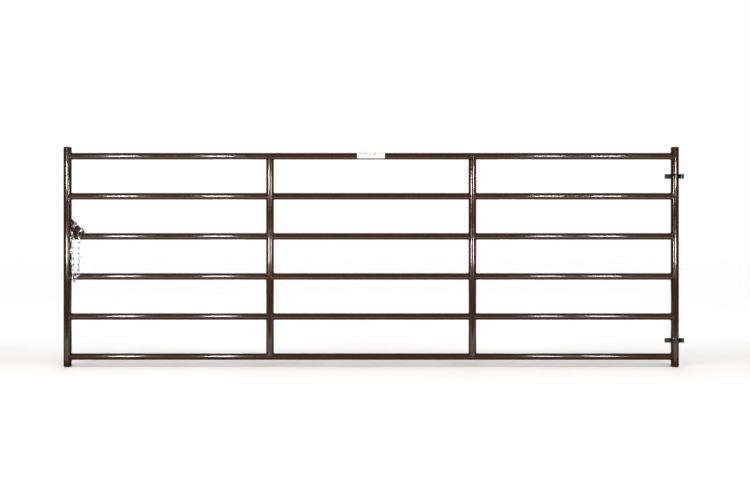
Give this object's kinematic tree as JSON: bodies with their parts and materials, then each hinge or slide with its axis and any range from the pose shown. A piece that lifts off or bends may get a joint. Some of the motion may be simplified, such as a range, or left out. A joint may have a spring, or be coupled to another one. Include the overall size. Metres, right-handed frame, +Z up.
{
  "type": "tubular livestock gate",
  "caption": "Welded tube livestock gate: level rails between end posts and upright stays, clamp-on hinge straps at one end, and a latch chain hung from a slotted plate at the other.",
  "frame": {"origin": "on the hinge axis, at the lower seat of the lower hinge strap's eye", "axes": "+X from the latch end to the hinge end, -Y the front, +Z up along the hinge axis"},
  "size_m": [3.5874, 0.0676, 1.27],
  "materials": {
    "painted_tube": "gloss powder coat, dark brown",
    "end_cap": "satin black",
    "hinge_steel": "satin black over steel",
    "chain_steel": "bright zinc plate",
    "label_film": "satin printed film"
  },
  "bodies": {
    "gate": {"latch_post": "painted_tube", "latch_post_top_cap": "end_cap", "latch_post_foot_cap": "end_cap", "hinge_post": "painted_tube", "hinge_post_top_cap": "end_cap", "hinge_post_foot_cap": "end_cap", "rail_1": "painted_tube", "rail_2": "painted_tube", "rail_3": "painted_tube", "rail_4": "painted_tube", "rail_5": "painted_tube", "rail_6": "painted_tube", "latch_side_stay_1": "painted_tube", "latch_side_stay_2": "painted_tube", "latch_side_stay_3": "painted_tube", "latch_side_stay_4": "painted_tube", "latch_side_stay_5": "painted_tube", "hinge_side_stay_1": "painted_tube", "hinge_side_stay_2": "painted_tube", "hinge_side_stay_3": "painted_tube", "hinge_side_stay_4": "painted_tube", "hinge_side_stay_5": "painted_tube", "latch_gusset": "painted_tube", "chain_left_01": "chain_steel", "chain_left_02": "chain_steel", "chain_left_03": "chain_steel", "chain_right_01": "chain_steel", "chain_right_02": "chain_steel", "label": "label_film"},
    "upper_hinge": {"upper_hinge_strap": "hinge_steel", "upper_hinge_bolt": "hinge_steel", "upper_hinge_nut": "hinge_steel"},
    "lower_hinge": {"lower_hinge_strap": "hinge_steel", "lower_hinge_bolt": "hinge_steel", "lower_hinge_nut": "hinge_steel"},
    "chain_end": {"chain_left_00": "chain_steel"},
    "right_link_03": {"chain_right_03": "chain_steel"},
    "right_link_04": {"chain_right_04": "chain_steel"},
    "right_link_05": {"chain_right_05": "chain_steel"},
    "right_link_06": {"chain_right_06": "chain_steel"},
    "right_link_07": {"chain_right_07": "chain_steel"},
    "right_link_08": {"chain_right_08": "chain_steel"},
    "right_link_09": {"chain_right_09": "chain_steel"},
    "right_link_10": {"chain_right_10": "chain_steel"},
    "left_link_04": {"chain_left_04": "chain_steel"},
    "left_link_05": {"chain_left_05": "chain_steel"},
    "left_link_06": {"chain_left_06": "chain_steel"},
    "left_link_07": {"chain_left_07": "chain_steel"},
    "left_link_08": {"chain_left_08": "chain_steel"},
    "left_link_09": {"chain_left_09": "chain_steel"},
    "left_link_10": {"chain_left_10": "chain_steel"},
    "left_link_11": {"chain_left_11": "chain_steel"}
  },
  "joints": [
    {"name": "upper_hinge_turn", "type": "hinge", "parent": "gate", "child": "upper_hinge", "pos_m": [-0.0392, 0, 0.9607], "axis": [0, 0, 1], "range_deg": [-90, 90]},
    {"name": "lower_hinge_turn", "type": "hinge", "parent": "gate", "child": "lower_hinge", "pos_m": [-0.0392, 0, 0.0127], "axis": [0, 0, 1], "range_deg": [-90, 90]},
    {"name": "chain_end_swing", "type": "hinge", "parent": "gate", "child": "chain_end", "pos_m": [-3.50579, 0.00568, 0.68784], "axis": [0.9659, 0, -0.2588], "range_deg": [0, 60]},
    {"name": "right_bend_03", "type": "hinge", "parent": "gate", "child": "right_link_03", "pos_m": [-3.47324, -0.0297, 0.61055], "axis": [-1, 0, 0], "range_deg": [0, 10]},
    {"name": "right_bend_04", "type": "hinge", "parent": "right_link_03", "child": "right_link_04", "pos_m": [-3.47372, -0.0297, 0.57855], "axis": [-1, 0, 0], "range_deg": [0, 15]},
    {"name": "right_bend_05", "type": "hinge", "parent": "right_link_04", "child": "right_link_05", "pos_m": [-3.47427, -0.0297, 0.54656], "axis": [-1, 0, 0], "range_deg": [0, 18]},
    {"name": "right_bend_06", "type": "hinge", "parent": "right_link_05", "child": "right_link_06", "pos_m": [-3.47493, -0.0297, 0.51457], "axis": [-1, 0, 0], "range_deg": [0, 18]},
    {"name": "right_bend_07", "type": "hinge", "parent": "right_link_06", "child": "right_link_07", "pos_m": [-3.47573, -0.0297, 0.48257], "axis": [-1, 0, 0], "range_deg": [0, 18]},
    {"name": "right_bend_08", "type": "hinge", "parent": "right_link_07", "child": "right_link_08", "pos_m": [-3.47675, -0.0297, 0.45059], "axis": [-1, 0, 0], "range_deg": [0, 18]},
    {"name": "right_bend_09", "type": "hinge", "parent": "right_link_08", "child": "right_link_09", "pos_m": [-3.47819, -0.0297, 0.41862], "axis": [-1, 0, 0], "range_deg": [0, 18]},
    {"name": "right_bend_10", "type": "hinge", "parent": "right_link_09", "child": "right_link_10", "pos_m": [-3.48058, -0.0297, 0.38671], "axis": [-1, 0, 0], "range_deg": [0, 18]},
    {"name": "left_bend_04", "type": "hinge", "parent": "gate", "child": "left_link_04", "pos_m": [-3.51236, -0.0297, 0.61055], "axis": [-1, 0, 0], "range_deg": [0, 10]},
    {"name": "left_bend_05", "type": "hinge", "parent": "left_link_04", "child": "left_link_05", "pos_m": [-3.51188, -0.0297, 0.57855], "axis": [-1, 0, 0], "range_deg": [0, 15]},
    {"name": "left_bend_06", "type": "hinge", "parent": "left_link_05", "child": "left_link_06", "pos_m": [-3.51133, -0.0297, 0.54656], "axis": [-1, 0, 0], "range_deg": [0, 18]},
    {"name": "left_bend_07", "type": "hinge", "parent": "left_link_06", "child": "left_link_07", "pos_m": [-3.51067, -0.0297, 0.51457], "axis": [-1, 0, 0], "range_deg": [0, 18]},
    {"name": "left_bend_08", "type": "hinge", "parent": "left_link_07", "child": "left_link_08", "pos_m": [-3.50988, -0.0297, 0.48257], "axis": [-1, 0, 0], "range_deg": [0, 18]},
    {"name": "left_bend_09", "type": "hinge", "parent": "left_link_08", "child": "left_link_09", "pos_m": [-3.50885, -0.0297, 0.45059], "axis": [-1, 0, 0], "range_deg": [0, 18]},
    {"name": "left_bend_10", "type": "hinge", "parent": "left_link_09", "child": "left_link_10", "pos_m": [-3.50741, -0.0297, 0.41862], "axis": [-1, 0, 0], "range_deg": [0, 18]},
    {"name": "left_bend_11", "type": "hinge", "parent": "left_link_10", "child": "left_link_11", "pos_m": [-3.50502, -0.0297, 0.38671], "axis": [-1, 0, 0], "range_deg": [0, 18]}
  ],
  "couplings": [
    {"joint": "left_bend_04", "follows": "right_bend_03", "ratio": 1},
    {"joint": "left_bend_05", "follows": "right_bend_04", "ratio": 1},
    {"joint": "left_bend_06", "follows": "right_bend_05", "ratio": 1},
    {"joint": "left_bend_07", "follows": "right_bend_06", "ratio": 1},
    {"joint": "left_bend_08", "follows": "right_bend_07", "ratio": 1},
    {"joint": "left_bend_09", "follows": "right_bend_08", "ratio": 1},
    {"joint": "left_bend_10", "follows": "right_bend_09", "ratio": 1},
    {"joint": "left_bend_11", "follows": "right_bend_10", "ratio": 1}
  ]
}
